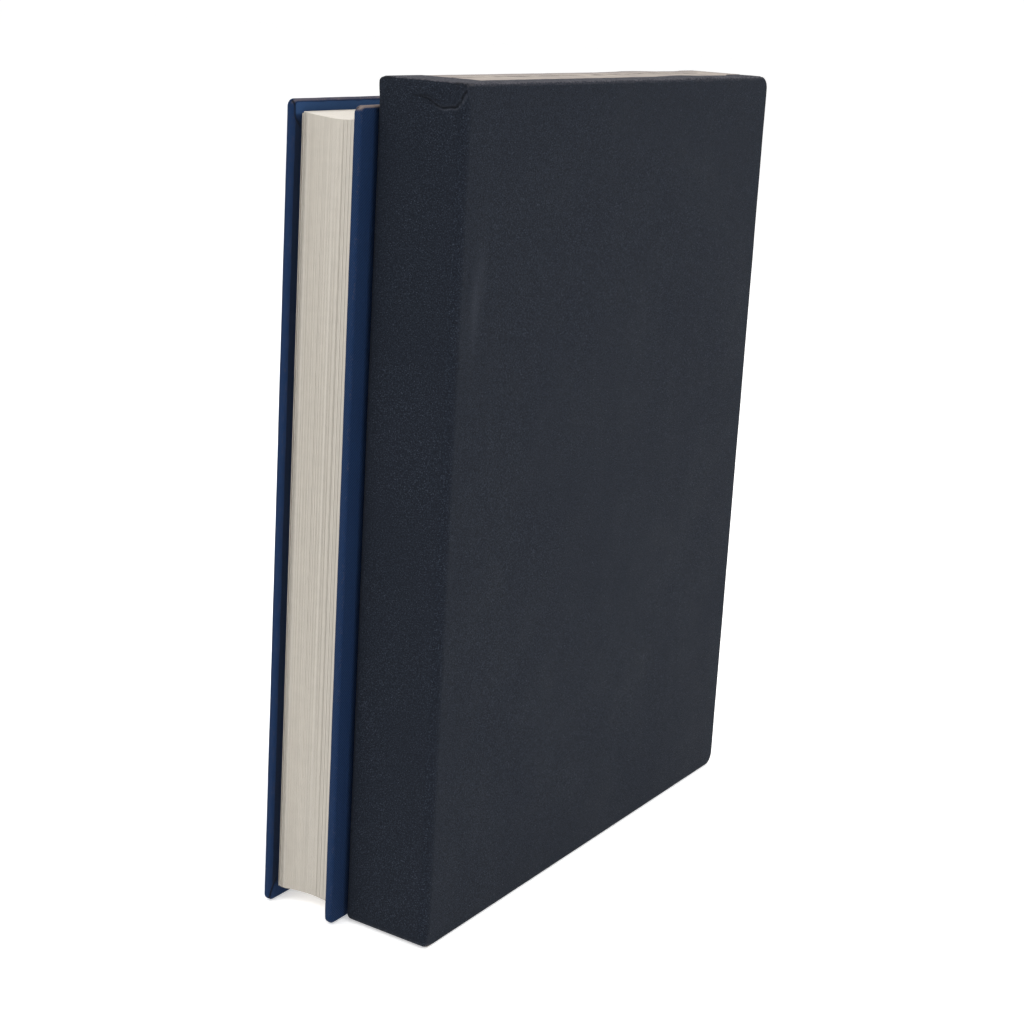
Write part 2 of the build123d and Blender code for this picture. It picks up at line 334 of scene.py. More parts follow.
def book_cloth():
    """Navy book cloth: a fine twill, lighter on the ribs, tan on its edges from rub and from painted sheen
    on the heads; painted shade in its creases and beside the leaves, painted light above them.
    """
    s = Shader("book_cloth", (3, 16, 36), 0.82, sheen=0.03, sheen_colour=(0.55, 0.65, 0.9))
    x, y, z = s.axes()
    across = s.plus(x, y)
    rib = s.wave(s.plus(across, s.times(z, 0.9)), 0.0009)
    threads = s.wave(s.math("SUBTRACT", across, z), 0.0009 * 0.62)
    weave = s.plus(s.times(rib, 0.75), s.times(threads, 0.25))
    uneven = s.noise(45, 4)
    s.paint(s.ramp(s.noise(900, 2), 0.3, 0.7), (9, 27, 52))
    s.paint(s.ramp(weave, -0.8, 0.8, 0, 0.9), (28, 53, 91))
    s.paint(s.ramp(uneven, 0.4, 0.75, 0, 0.2), (28, 48, 78))
    # painted light: the turned-in cloth above the leaves is made lighter blue, as where light falls on it
    s.paint(s.times(s.value("fresh"), 0.55), (52, 82, 124))
    fine = s.ramp(s.noise(1700, 3), 0.52, 0.64)
    broad = s.ramp(s.noise(140, 2), 0.45, 0.6, 0.12, 1.0)
    # tan edges: rub along the rounded edges, and painted sheen where they face up at the heads
    s.paint(s.times(s.value("edge"), fine, broad, 0.4), (140, 120, 104))
    # painted sheen: a pale tan line along the covers' heads
    s.paint(s.value("wear"), (152, 134, 120))
    # painted shade: near-black in the corner creases and on the turned-in cloth beside the leaves
    s.paint(s.value("fold"), (8, 12, 22))
    s.rough(s.ramp(uneven, 0.3, 0.7, 0.74, 0.9))
    s.bump(s.plus(weave, s.noise(2600, 2)), 0.00012, 0.7)
    return s.material


def case_cloth():
    """Blue-black slipcase cloth: close weave, scattered pale flecks and a dull sheen; paler edges and end
    folds, partly rub and partly painted sheen; painted shade in the creases and corner openings.
    """
    s = Shader("case_cloth", (6, 10, 17), 0.8, sheen=0.02, sheen_colour=(0.8, 0.85, 1.0))
    x, y, z = s.axes()
    warp = s.wave(s.plus(x, y), 0.00062)
    weft = s.wave(s.plus(z, s.times(y, 0.15)), 0.00058)
    weave = s.times(warp, weft)
    cloudy = s.noise(22, 5, 0.6)
    s.paint(s.ramp(s.noise(1500, 2), 0.3, 0.7), (22, 28, 37))
    s.paint(s.ramp(weave, -1, 1, 0, 0.3), (28, 34, 46))
    s.paint(s.ramp(cloudy, 0.4, 0.75, 0, 0.3), (32, 35, 42))
    fine = s.ramp(s.noise(3000, 1), 0.6, 0.76, 0, 0.55)
    large = s.ramp(s.noise(2000, 1), 0.71, 0.8, 0, 0.8)
    s.paint(s.math("MAXIMUM", fine, large), (74, 82, 96))
    # paler edges: rub on the rims, and painted sheen on the head's folded cloth and its upper rim
    paler = s.ramp(s.noise(1100, 4), 0.4, 0.62, 0.15, 1.0)
    s.paint(s.times(s.value("edge"), paler, 0.6), (100, 97, 103))
    s.paint(s.value("wear"), (84, 88, 98))
    # painted shade: near-black in the back's creases and the head's corner openings
    s.paint(s.value("fold"), (9, 11, 16))
    s.rough(s.ramp(cloudy, 0.3, 0.7, 0.7, 0.9))
    s.bump(s.plus(s.times(weave, 0.6), s.noise(1800, 2)), 0.0001, 0.6)
    return s.material


def paper(name, colour, ruled=False, leaves=True):
    """Paper: fine fibres; streaks along the cut edges where leaves lie together; ruled columns; head and
    tail edges lighter, as painted light from above.
    """
    s = Shader(name, colour, 0.88)
    dark = tuple(channel * 0.9 for channel in colour)
    s.paint(s.ramp(s.noise(300, 3), 0.35, 0.7, 0, 0.3), dark)
    plain = s.base
    if leaves:
        fine = s.noise(1.0, 1, place=s.stretched(2600, 12, 5))
        broad = s.noise(1.0, 2, place=s.stretched(700, 8, 3))
        s.paint(s.ramp(fine, 0.35, 0.68, 0, 0.5), dark)
        s.paint(s.ramp(broad, 0.45, 0.7, 0, 0.4), dark)
        normal = s.normal()
        face = s.ramp(s.math("ABSOLUTE", normal[0]), 0.6, 0.8)
        s.paint(s.math("MAXIMUM", s.value("page"), face), plain)
        # painted light: the head and tail edges of the leaves made lighter than the fore-edge, for light
        # from above
        s.paint(s.ramp(s.math("ABSOLUTE", normal[2]), 0.6, 0.8, 0, 0.9), (211, 205, 196))
    if ruled:
        s.paint(ruling(s), (104, 122, 150))
    s.bump(s.noise(1400, 3), 0.00005, 0.35)
    return s.material


# The ruling of an entry page, in metres: where its middle lies and how far it reaches.
PAGE_Y, PAGE_HALF_DEPTH = -0.014, 0.0925
PAGE_Z, PAGE_HALF_HEIGHT = 0.150, 0.1295
HEADING_Z, HEADING_HALF = 0.2655, 0.0072
ROW_PITCH, ROW_LINE = 0.007, 0.00028
COLUMN_PITCH, COLUMN_LINE, COLUMN_SHIFT = 0.0185, 0.00034, 0.0005


def line_mask(s, along, pitch, width):
    """1 on thin lines that repeat every pitch metres."""
    phase = s.math("FRACT", s.math("DIVIDE", s.plus(along, 1.0), pitch))
    return s.within(phase, 0.5, width / pitch / 2)


def ruling(s):
    """Plain columns and rows of an entry page, only on the leaves' flat sides."""
    _, y, z = s.axes()
    flat = s.math("GREATER_THAN", s.math("ABSOLUTE", s.normal()[0]), 0.8)
    page = s.times(s.within(z, PAGE_Z, PAGE_HALF_HEIGHT), s.within(y, PAGE_Y, PAGE_HALF_DEPTH))
    rows = s.times(line_mask(s, z, ROW_PITCH, ROW_LINE), 0.5)
    columns = s.times(line_mask(s, s.plus(y, COLUMN_SHIFT), COLUMN_PITCH, COLUMN_LINE), 0.75)
    heading = s.times(s.within(z, HEADING_Z, HEADING_HALF), 0.22)
    return s.times(s.times(s.math("MAXIMUM", rows, columns, heading), flat), page)


def head_paper():
    """The tan paper between the folded cloth: blotchy, scuffed, a little fibrous; its pale tan also paints
    the bright grazing sheen of the head.
    """
    # painted sheen: this pale tan paper also stands in for the bright grazing sheen on the head
    s = Shader("end_paper", (172, 163, 153), 0.85)
    streak = s.noise(1.0, 3, place=s.stretched(900, 60, 60))
    s.paint(s.ramp(s.noise(60, 5, 0.65), 0.3, 0.75), (140, 132, 129))
    s.paint(s.ramp(streak, 0.5, 0.75, 0, 0.4), (132, 126, 126))
    s.paint(s.times(s.ramp(s.noise(420, 2), 0.7, 0.76), 0.6), (86, 80, 80))
    s.paint(s.times(s.value("edge"), 0.6), (122, 116, 118))
    s.bump(s.noise(700, 4), 0.0001, 0.5)
    return s.material


def lining_paper():
    """Dull grey-blue paper inside the slipcase."""
    s = Shader("case_lining", (84, 88, 97), 0.9)
    s.paint(s.ramp(s.noise(250, 4), 0.3, 0.7), (104, 107, 113))
    s.bump(s.noise(1200, 3), 0.00008, 0.5)
    return s.material


def board():
    """Grey pressed board, layered on its cut edges."""
    s = Shader("binders_board", (108, 102, 95), 0.9)
    fibre = s.noise(900, 4, 0.6)
    layer = s.noise(1.0, 2, place=s.stretched(3000, 60, 60))
    s.paint(s.ramp(fibre, 0.3, 0.7), (136, 129, 120))
    s.paint(s.ramp(layer, 0.45, 0.7, 0, 0.4), (88, 84, 80))
    s.bump(fibre, 0.0002, 0.5)
    return s.material


def card(name, colour):
    """Plain card or kraft paper with visible fibres."""
    s = Shader(name, colour, 0.86)
    fibre = s.noise(1.0, 4, place=s.stretched(1200, 1200, 180))
    s.paint(s.ramp(fibre, 0.35, 0.7), [min(255, channel * 1.12) for channel in colour])
    s.bump(fibre, 0.00008, 0.5)
    return s.material


def gauze():
    """Open-weave mull: pale threads both ways over dark glue."""
    s = Shader("mull_gauze", (128, 112, 84), 0.92)
    x, _, z = s.axes()
    warp, weft = (s.ramp(s.wave(along, 0.0011), 0.2, 0.5) for along in (z, x))
    threads = s.math("MAXIMUM", warp, weft)
    s.paint(threads, (210, 202, 182))
    s.bump(threads, 0.00015, 0.8)
    return s.material


def silk():
    """Headband silk wound in two colours, with painted shade in the grooves between the turns."""
    s = Shader("headband_cord", (218, 208, 184), 0.5, sheen=0.3)
    x = s.axes()[0]
    wound = s.wave(x, 0.00042)
    s.paint(s.ramp(s.wave(x, 0.0026), -0.12, 0.12), (44, 66, 112))
    # painted shade: darker grey in the grooves between the turns of thread
    s.paint(s.ramp(wound, -1, 0.2, 0.45, 0), (60, 56, 54))
    s.bump(wound, 0.0001, 0.8)
    return s.material


def linen():
    """Waxed linen sewing thread."""
    s = Shader("linen_thread", (220, 208, 184), 0.6)
    x, y, z = s.axes()
    twist = s.wave(s.plus(z, s.plus(x, y)), 0.0005)
    s.paint(s.ramp(twist, -1, 1, 0, 0.5), (164, 150, 124))
    s.bump(twist, 0.00005, 0.8)
    return s.material


MATERIALS = {
    "book_cloth": book_cloth(),
    "case_cloth": case_cloth(),
    "leaf_paper": paper("leaf_paper", (193, 187, 177), ruled=True),
    "endleaf_paper": paper("endleaf_paper", (220, 213, 201), leaves=False),
    "end_paper": head_paper(),
    "case_lining": lining_paper(),
    "binders_board": board(),
    "spine_card": card("spine_card", (150, 142, 128)),
    "kraft_paper": card("kraft_paper", (166, 132, 92)),
    "mull_gauze": gauze(),
    "headband_cord": silk(),
    "linen_thread": linen(),
}


def make_piece(work, name, slot, body, nodes, merge=0.002, inside=None, skin=None, sharp=None):
    """Builds a piece, gives it its skin, material, slot and body, and hides the nodes it stands for."""
    piece = work.build(name, merge, inside)
    if skin is not None:
        thicken(piece, skin)
    if sharp is not None:
        sharpen(piece, sharp)
    piece.data.materials.clear()
    piece.data.materials.append(MATERIALS[slot])
    if body is not None:
        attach(piece, body)
    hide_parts(*nodes)
    return piece


def dress_node(node, slot):
    """Gives a CAD node that stays in view its material."""
    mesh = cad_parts[node].data
    if not mesh.materials:
        mesh.materials.append(MATERIALS[slot])
    for index in range(len(mesh.materials)):
        mesh.materials[index] = MATERIALS[slot]


# ------------------------------------------------------------------ rounded rectangles, seen from the side
def corner_arc(centre, radius, start, end, steps=4):
    """Points and outward directions on an arc; angles in degrees from +Y towards +Z."""
    angles = np.radians(np.linspace(start, end, steps + 1))
    outward = np.stack([np.cos(angles), np.sin(angles)], 1)
    return np.array(centre) + radius * outward, outward


def side_outline(rect, radii, y_stops, z_stops):
    """Four boundary curves (foot, top, back, mouth) of a rounded rectangle in the YZ plane.

    rect is (y0, y1, z0, z1); radii are back-foot, back-top, mouth-foot, mouth-top. Each curve runs
    from the middle of one corner's arc to the middle of the next, foot and top towards +Y, back and
    mouth upwards, and gives points and outward directions. Opposite curves have as many points.
    """
    y0, y1, z0, z1 = rect
    corners = {}
    for radius, (y, z) in zip(radii, ((y0, z0), (y0, z1), (y1, z0), (y1, z1))):
        centre = (y + (radius if y == y0 else -radius), z + (radius if z == z0 else -radius))
        corners[y, z] = (centre, radius)

    def curve(first, second, first_angles, second_angles, stops, level, axis):
        a_points, a_out = corner_arc(*corners[first], *first_angles)
        b_points, b_out = corner_arc(*corners[second], *second_angles)
        inner = stops[(stops > a_points[-1][axis] + 0.05) & (stops < b_points[0][axis] - 0.05)]
        line = np.full((len(inner), 2), float(level))
        line[:, axis] = inner
        straight = np.tile(a_out[-1], (len(inner), 1))
        return np.vstack([a_points, line, b_points]), np.vstack([a_out, straight, b_out])

    curves = {
        "foot": curve((y0, z0), (y1, z0), (225, 270), (270, 315), y_stops, z0, 0),
        "top": curve((y0, z1), (y1, z1), (135, 90), (90, 45), y_stops, z1, 0),
        "back": curve((y0, z0), (y0, z1), (225, 180), (180, 135), z_stops, y0, 1),
        "mouth": curve((y1, z0), (y1, z1), (-45, 0), (0, 45), z_stops, y1, 1),
    }
    even_counts(curves, "foot", "top")
    even_counts(curves, "back", "mouth")
    return curves


def even_counts(curves, first, second):
    """Gives two opposite curves the same number of points, by resampling the shorter one."""
    short, long = sorted((first, second), key=lambda name: len(curves[name][0]))
    count, wanted = len(curves[short][0]), len(curves[long][0])
    if count != wanted:
        position = np.linspace(0, count - 1, wanted)
        curves[short] = tuple(
            np.stack([np.interp(position, np.arange(count), values[:, axis]) for axis in (0, 1)], 1)
            for values in curves[short]
        )


def coons(foot, top, back, mouth):
    """The flat patch between four boundary curves of points in the plane."""
    columns, rows = len(foot), len(back)
    u = np.linspace(0, 1, columns)[None, :, None]
    v = np.linspace(0, 1, rows)[:, None, None]
    across = (1 - v) * foot[None] + v * top[None]
    along = (1 - u) * back[:, None] + u * mouth[:, None]
    corners = (
        (1 - u) * (1 - v) * foot[0] + u * (1 - v) * foot[-1]
        + (1 - u) * v * top[0] + u * v * top[-1]
    )
    return across + along - corners


def inset_curve(curve, inset):
    points, outward = curve
    return points - outward * np.asarray(inset, float).reshape(-1, 1)


def flat_face(curves, rims, x):
    """The flat face inside an outline's rims, standing at x."""
    inset = {name: inset_curve(curve, rims[name]) for name, curve in curves.items()}
    flat = coons(inset["foot"], inset["top"], inset["back"], inset["mouth"])
    return np.concatenate([np.full(flat.shape[:2] + (1,), float(x)), flat], 2)


def standing(x, plane):
    """Points of the YZ plane, or places along Y, put at x."""
    return np.column_stack([np.full(len(plane), x), plane])


def swept(x, path):
    """A path in the YZ plane, each point repeated at its row of places across."""
    return np.concatenate([x[..., None], np.tile(path[:, None], (1, x.shape[1], 1))], 2)


def sideways(path):
    """Unit directions to the left of a path."""
    tangents = np.gradient(path, axis=0)
    tangents /= np.linalg.norm(tangents, axis=1)[:, None]
    return np.column_stack([-tangents[:, 1], tangents[:, 0]])


# ------------------------------------------------------------------ slipcase cloth
CASE_BACK_ROUND = 3.5      # upright back edges
CASE_LEFT_ROUND = 1.9      # the one of them next to the logbook
CASE_RIM = 0.8             # all the other edges
CASE_HEAD_RIM = 0.95       # radius of the head's rim at its back corners
CASE_FOOT_RIM = 1.7        # and of the foot's
HEAD_FLARE = 9.0           # height over which the free side's edge tightens at the head
HEAD_CORNER = 1.5
FOOT_CORNER = 3.0
MOUTH_CORNER = 5.0
PAPER_FAR = 17.3           # how far the head paper reaches towards the logbook's side
PAPER_END = 110.5          # and towards the mouth
SCUFF_Y = -101.0           # where the free side is rubbed
SCUFF_Z = 243.0
FLAP_LIFT = 0.16           # the folded cloth stands this much above the head paper
FLAP_STEP = 0.22           # and the back and mouth folds above the side folds
FLAP_SIDE = 16.6           # half width of the back and mouth folds
CASE_SKIN = 0.25

# The crease of a fold under the cloth of the back, as points across and up.
BACK_CREASE = [
    (-7.0, 310.2), (-1.0, 309.9), (3.0, 309.2), (6.5, 307.4), (9.6, 306.6),
    (12.6, 307.1), (14.6, 307.2), (16.2, 309.0), (17.3, 311.2), (18.2, 312.8),
]
UPPER_CREASE = [(0.0, 310.3), (3.5, 310.2), (5.5, 309.4), (8.0, 308.6)]


def case_lift(points, normals):
    """How far the case's cloth stands off its boards: slight bow, ripples, folds and the crease."""
    x, y, z = np.moveaxis(points, -1, 0)
    up = np.clip((z - 4) / (CASE_TOP - 8), 0, 1)
    along = np.clip((y - CASE_BACK) / (CASE_MOUTH - CASE_BACK), 0, 1)
    side = smooth_step(np.abs(normals[..., 0]), 0.6, 1)
    back = smooth_step(-normals[..., 1], 0.6, 1)
    top = smooth_step(normals[..., 2], 0.6, 1)
    lift = side * 0.28 * np.sin(np.pi * up) * np.sin(np.pi * along)
    lift = lift + (side + back) * (0.05 + ripple(points, 26.0, 0.1) + ripple(points, 7.0, 0.03, 5))
    lift = lift + top * (FLAP_LIFT + flap_steps(x, y) + top_bulge(y) + ripple(points, 5.0, 0.08, 9))
    return lift * smooth_step(z, 1.0, 8.0)


def flap_steps(x, y):
    """The back and mouth folds lie over the side folds."""
    narrow = 1 - smooth_step(np.abs(x), FLAP_SIDE, FLAP_SIDE + 0.3)
    back = 1 - smooth_step(y, PAPER_BACK - 0.35, PAPER_BACK)
    mouth = smooth_step(y, PAPER_MOUTH, PAPER_MOUTH + 0.35)
    return FLAP_STEP * narrow * np.maximum(back, mouth)


def top_bulge(y):
    """The folded cloth is thicker where its layers meet near the mouth."""
    return 0.35 * bell(y - (PAPER_MOUTH - 42), 16)


def line_distance(x, z, corners):
    """Distance of each place to a line through the corners, and whether it lies above."""
    line = path_curve(corners, 60)
    flat = np.hypot(x[..., None] - line[:, 0], z[..., None] - line[:, 1]).min(-1)
    return flat, np.where(z > np.interp(x, line[:, 0], line[:, 1]), 1.0, -1.0)


def back_crease(x, z):
    """Height, painted crease shade and paleness of the folded cloth on the back, below the free corner."""
    distance, side = line_distance(x, z, BACK_CREASE)
    upper, _ = line_distance(x, z, UPPER_CREASE)
    shown = smooth_step(x, -6.0, 2.0)
    rise = smooth_step(distance, 0.0, 0.7) * (1 - smooth_step(distance, 2.0, 5.5))
    above = np.where(side > 0, rise, 0)
    height = shown * (0.55 * above - 0.25 * bell(distance, 0.34) - 0.12 * bell(upper, 0.3))
    uneven = np.clip(0.85 + ripple(np.stack([x, x * 0, z], -1), 1.3, 0.5, 8), 0.2, 1)
    # painted shade: dark along the crease lines
    dark = shown * uneven * (1.1 * bell(distance, 0.38) + 0.7 * bell(upper, 0.3))
    paler = np.where(side < 0, 0.3, 0.08) * bell(distance - 0.65, 0.3) * smooth_step(x, 4, 9)
    return height, dark, shown * uneven * paler


def corner_pocket_shade(points):
    """Painted shade: small dark openings where the cloth is folded over the head's back corners."""
    x, y, z = np.moveaxis(points, -1, 0)
    head = smooth_step(z, CASE_TOP - 2.5, CASE_TOP - 1.0)
    near = bell(np.abs(x) - 14.6, 1.7) * bell(y - CASE_BACK - 1.0, 0.7) * head
    beside = bell(np.abs(x) - 17.5, 0.6) * bell(y - CASE_BACK - 1.6, 1.4) * head
    return np.clip(near + beside, 0, 1)


def case_stops():
    """Where the case's grid lines lie along and up it."""
    fine_back = np.array([PAPER_BACK - 0.35, PAPER_BACK, PAPER_MOUTH, PAPER_MOUTH + 0.35])
    y_stops = np.sort(np.concatenate([spread(-108, 108, 3.6), fine_back]))
    z_stops = np.concatenate([spread(4, 8, 1.3), spread(11, 296, 3.6), spread(297.4, 313, 0.32)])
    return y_stops, z_stops


def upright_rounding(z, main):
    """Radius of an upright back edge at each height: tighter at the very head and foot."""
    foot = smooth_step(z, FOOT_CORNER - 1.0, FOOT_CORNER + 5.0)
    head = smooth_step(z, CASE_TOP - HEAD_FLARE, CASE_TOP - HEAD_CORNER)
    return CASE_FOOT_RIM + (main - CASE_FOOT_RIM) * foot + (CASE_HEAD_RIM - main) * head


def case_outline():
    """The case's side outline, with the radius of the rim at each of its points for each side."""
    rect = (CASE_BACK, CASE_MOUTH, 0, CASE_TOP)
    radii = (FOOT_CORNER, HEAD_CORNER, MOUTH_CORNER, MOUTH_CORNER)
    curves = side_outline(rect, radii, *case_stops())
    shared = {
        "foot": end_rim(curves["foot"][0][:, 0], CASE_FOOT_RIM),
        "top": end_rim(curves["top"][0][:, 0], CASE_HEAD_RIM),
        "mouth": np.full(len(curves["mouth"][0]), CASE_RIM),
    }
    heights = curves["back"][0][:, 1]
    return curves, {
        side: {**shared, "back": upright_rounding(heights, main)}
        for side, main in ((-1, CASE_LEFT_ROUND), (1, CASE_BACK_ROUND))
    }


def end_rim(y, corner):
    """Radius of the rim along the head or the foot: softer towards the back corner."""
    return CASE_RIM + (corner - CASE_RIM) * (1 - smooth_step(y, CASE_BACK + 1.0, CASE_BACK + 6))


def rim_grid(curve, rims, side, half, turn=90, steps=6):
    """The rounded edge between a side of the box and its outline, for one side, -1 or 1."""
    points, outward = curve
    angles = np.radians(np.linspace(0, turn, steps + 1))
    rows, normals = [], []
    for angle in angles:
        x = half - rims * (1 - math.cos(angle))
        in_plane = points - outward * (rims * (1 - math.sin(angle)))[:, None]
        rows.append(standing(side * x, in_plane))
        normals.append(standing(side * math.cos(angle), outward * math.sin(angle)))
    return np.array(rows), np.array(normals)


def add_case_grid(work, points, normals, edge, keep=None):
    """Adds a grid of the case's cloth, lifted off its boards."""
    lifted = points + normals * case_lift(points, normals)[..., None]
    back = smooth_step(-normals[..., 1], 0.2, 0.6) * (points[..., 2] > 295)
    height, dark, pale = back_crease(points[..., 0], points[..., 2])
    pocket_shade = corner_pocket_shade(points)
    lifted = lifted + normals * (back * height - 0.25 * pocket_shade)[..., None]
    # painted shade from the creases and the corner openings, carried as the fold value
    folds = np.clip(back * dark + pocket_shade, 0, 1)
    work.grid(lifted, keep, edge=edge, fold=folds, wear=scuff(points, normals) + back * pale)


def scuff(points, normals):
    """A faint pale rub high on the free side, near the back edge."""
    side = smooth_step(normals[..., 0], 0.8, 1)
    y, z = points[..., 1] - SCUFF_Y, points[..., 2] - SCUFF_Z
    return 0.25 * side * bell(y - 0.04 * z, 1.6) * bell(z, 14)


def case_sides(work, curves, rims):
    """The two large faces and the rounded rims round them."""
    for side in (-1, 1):
        points = flat_face(curves, rims[side], side * CASE_HALF)
        normals = np.zeros_like(points)
        normals[..., 0] = side
        near = np.minimum.reduce([
            points[..., 2], CASE_TOP - points[..., 2], CASE_MOUTH - points[..., 1],
        ])
        add_case_grid(work, points, normals, 0.3 * bell(near, 0.5))
        for name in curves:
            turn, steps = (180, 12) if name == "mouth" else (90, 6)
            grid, directions = rim_grid(curves[name], rims[side][name], side, CASE_HALF, turn, steps)
            rub_and_sheen = np.full(grid.shape[:2], 0.0 if name == "back" else 0.3)
            if name == "top":
                # the head's rim paler still: painted highlight where it faces up, over rub
                rub_and_sheen = 0.3 + 0.7 * smooth_step(directions[..., 2], 0.5, 0.9)
            add_case_grid(work, grid, directions, rub_and_sheen)


def case_mouth_turn_ins(work, curves):
    """Cloth turned in on the inner faces of the two sides."""
    start = inset_curve(curves["mouth"], CASE_RIM)
    end = np.column_stack([np.full(len(start), CASE_TURN_IN), start[:, 1]])
    for side in (-1, 1):
        work.grid(np.array([
            standing(side * (CASE_HALF - CASE_WALL), start + (end - start) * share)
            for share in (0.0, 0.5, 0.97, 1.0)
        ]))


def across_shares():
    """Grid lines across the case, as shares of the flat width, with lines on the folds' edges."""
    half = CASE_HALF - CASE_RIM
    lines = np.concatenate([
        spread(0, PAPER_SIDE, 0.56), spread(PAPER_SIDE + 0.05, FLAP_SIDE, 0.5),
        [FLAP_SIDE + 0.3, half],
    ])
    lines = np.unique(np.round(lines, 4))
    return np.concatenate([-lines[:0:-1], lines]) / half


def case_round(work, curves, rims):
    """Foot, back and head: one strip of cloth round the case, with the bare window in each end."""
    shares = across_shares()
    parts = []
    for name, backwards in (("foot", True), ("back", False), ("top", False)):
        part = np.column_stack([*curves[name], rims[-1][name], rims[1][name]])
        part = part[::-1] if backwards else part
        parts.append(part[1:] if parts else part)
    table = np.vstack(parts)
    points, outward, left_rim, right_rim = table[:, :2], table[:, 2:4], table[:, 4], table[:, 5]
    reach = CASE_HALF - np.where(shares[None] < 0, left_rim[:, None], right_rim[:, None])
    grid = swept(reach * shares[None], points)
    normals = np.zeros_like(grid)
    normals[..., 1:] = outward[:, None]

    def covered(row, column):
        middle_x = (grid[row, column, 0] + grid[row, column + 1, 0]) / 2
        middle_y = (grid[row, column, 1] + grid[row + 1, column, 1]) / 2
        on_end = abs(normals[row, column, 2]) > 0.99
        inside = abs(middle_x) < PAPER_SIDE and PAPER_BACK < middle_y < PAPER_MOUTH
        return not (on_end and inside)

    # the folded cloth of the head and foot made paler as edge: painted sheen, with rub
    add_case_grid(work, grid, normals, np.abs(normals[..., 2]) > 0.9, covered)


def case_mouth_ends(work, level, outer, up):
    """The cloth over the mouth edge of the head or the foot and back inside it."""
    centre = np.array([CASE_MOUTH - MOUTH_CORNER, outer - up * MOUTH_CORNER])
    arc = [
        centre + MOUTH_CORNER * np.array([math.cos(angle), up * math.sin(angle)])
        for angle in np.radians([45, 41, 37])
    ]
    corner = np.array([CASE_MOUTH - 0.35, level])
    end = np.array([CASE_MOUTH - 1.6, level])
    bend = [
        (1 - t) ** 2 * arc[-1] + 2 * t * (1 - t) * corner + t ** 2 * end
        for t in (0.2, 0.4, 0.6, 0.8, 1.0)
    ]
    inside = [np.array([y, level]) for y in (109.0, 105.0, CASE_TURN_IN + 0.3, CASE_TURN_IN)]
    path = np.array(arc + bend + inside)
    row = np.arange(len(path))
    narrow, wide = CASE_HALF - CASE_WALL, CASE_HALF - CASE_RIM
    shares = across_shares()
    x = np.interp(row, [0, 2, 7], [wide, wide, narrow])[:, None] * shares[None]
    work.grid(swept(x, path), edge=np.tile(bell(row - 3, 3)[:, None], (1, len(shares))))


def make_head_paper():
    """The paper on the head: between the folds, over the mouth's and the one beside the logbook."""
    node = "case_head_paper"
    first, last = low(node), high(node)
    x = np.unique(np.concatenate([
        spread(-PAPER_FAR, -PAPER_SIDE - 0.8, 0.6),
        spread(-PAPER_SIDE - 0.8, -PAPER_SIDE + 0.5, 0.2),
        spread(-PAPER_SIDE + 0.5, last.x, 0.8),
    ]).round(3))
    y = np.concatenate([
        spread(first.y, last.y - 0.8, 1.6), spread(last.y - 0.6, last.y + 1.2, 0.3),
        spread(last.y + 2, PAPER_END, 1.2),
    ])
    grid = np.zeros((len(y), len(x), 3))
    grid[..., 0] = x[None]
    grid[..., 1] = y[:, None]
    over = 1 - smooth_step(grid[..., 0], -PAPER_SIDE - 0.6, -PAPER_SIDE + 0.4)
    ends = smooth_step(grid[..., 1], last.y - 0.5, last.y + 0.5)
    over = np.maximum(over, ends)
    uneven = top_bulge(grid[..., 1]) + ripple(grid, 9.0, 0.04, 2)
    grid[..., 2] = last.z + over * (FLAP_LIFT + 0.14) + ends * FLAP_STEP + uneven
    grid[..., 2] -= 0.5 * smooth_step(-grid[..., 0], PAPER_FAR - 1.0, PAPER_FAR)
    grid[..., 2] -= 0.3 * smooth_step(grid[..., 1], PAPER_END - 1.5, PAPER_END)
    far = smooth_step(-grid[..., 0], PAPER_SIDE, PAPER_FAR)
    ragged = ripple(grid, 2.2, 0.3, 4)
    grid[..., 0] -= ragged * smooth_step(-grid[..., 0], PAPER_FAR - 0.5, PAPER_FAR)
    work = Patchwork()
    work.grid(grid, edge=far)
    make_piece(
        work, "case_head_sheet", "end_paper", "slipcase", (node,),
        merge=0.001, inside=(0, 0, CASE_TOP - 20), skin=last.z - first.z, sharp=50,
    )


def make_case_cloth():
    curves, rims = case_outline()
    work = Patchwork()
    case_sides(work, curves, rims)
    case_round(work, curves, rims)
    case_mouth_turn_ins(work, curves)
    case_mouth_ends(work, CASE_INSIDE_TOP + CASE_SKIN, CASE_TOP, 1)
    case_mouth_ends(work, CASE_INSIDE_FOOT - CASE_SKIN, 0.0, -1)
    make_piece(
        work, "case_cloth_wrap", "case_cloth", "slipcase", ("case_cloth", "case_foot_fold"),
        merge=0.01, inside=(0, 0, CASE_TOP / 2), skin=CASE_SKIN, sharp=42,
    )


# ------------------------------------------------------------------ logbook covers
COVER_RIM = 1.25
FORE_CORNER = 2.6
SPINE_CORNER = 1.5
COVER_SKIN = 0.3
QUARTER = np.radians(np.linspace(0, 90, 5))
TURN_IN = 15.0

# Creases of the corner folds on the fore-edge, in millimetres: round the edge from the outside
# of the board, then in from the head or the foot.
HEAD_CREASE = [
    (0.9, 0.1), (2.0, 0.35), (3.3, 0.9), (4.2, 2.1), (4.5, 3.6),
    (4.6, 5.8), (5.3, 7.1), (6.6, 8.6), (7.7, 9.6),
]
FOOT_CREASE = [(3.0, 0.2), (3.5, 2.2), (4.3, 4.4), (5.8, 7.0), (7.0, 8.6)]


def crease_distance(around, inward, crease):
    """Distance of each place at a corner to a crease, in millimetres."""
    line = path_curve(crease, 60)
    return np.hypot(around[..., None] - line[:, 0], inward[..., None] - line[:, 1]).min(-1)


